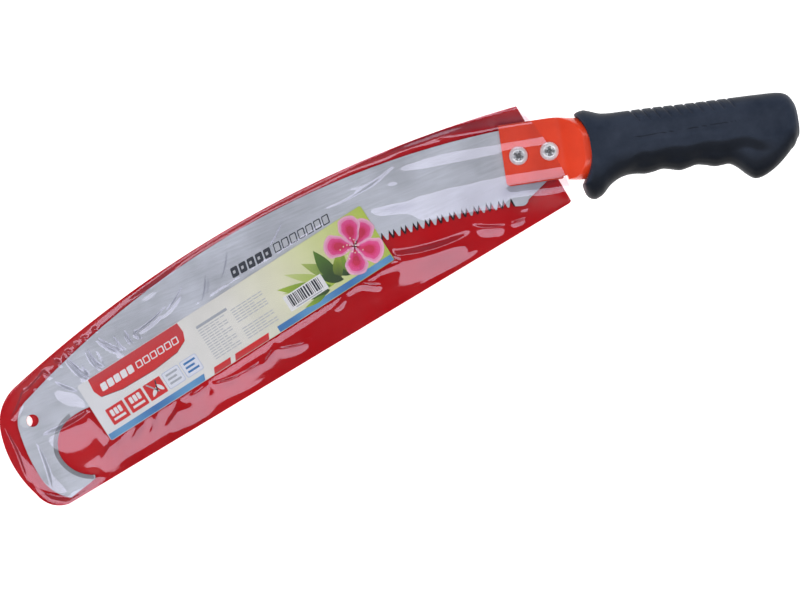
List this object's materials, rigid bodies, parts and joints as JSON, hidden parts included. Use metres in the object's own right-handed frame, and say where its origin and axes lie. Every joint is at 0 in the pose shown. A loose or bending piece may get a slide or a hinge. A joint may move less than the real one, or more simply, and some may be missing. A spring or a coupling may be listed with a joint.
{
  "type": "pruning saw with sheath",
  "caption": "Curved fixed-blade pruning saw with a hooked tip, a folded steel ferrule and a moulded rubber grip, in a clear-fronted sheath that draws off.",
  "frame": {"origin": "centre of the bounding box's underside, with the saw lying flat: the lowest point is the grip's guard lip", "axes": "+X along the grip from the blade towards the butt; +Y from the toothed edge towards the blade's back; +Z square to the blade, from the red panel towards the clear panel"},
  "size_m": [0.5342, 0.2098, 0.0372],
  "materials": {
    "blade_steel": "satin ground",
    "orange_paint": "gloss paint",
    "screw_zinc": "bright plated",
    "hardware_zinc": "zinc plated",
    "black_rubber": "satin moulded",
    "red_pvc": "glossy flexible sheet",
    "clear_film": "glossy clear sheet",
    "printed_card": "printed, smooth"
  },
  "bodies": {
    "saw": {"blade": "blade_steel", "ferrule": "orange_paint", "screw_front": "screw_zinc", "screw_rear": "screw_zinc", "washer_front": "hardware_zinc", "washer_rear": "hardware_zinc", "nut_front": "hardware_zinc", "nut_rear": "hardware_zinc", "grip": "black_rubber"},
    "sheath": {"sheath_back": "red_pvc", "sheath_front": "clear_film", "label_card": "printed_card"}
  },
  "joints": [
    {"name": "sheath_draw", "type": "hinge", "parent": "saw", "child": "sheath", "pos_m": [0.16931, -0.57533, 0.01862], "axis": [0, 0, 1], "range_deg": [0, 44]}
  ]
}
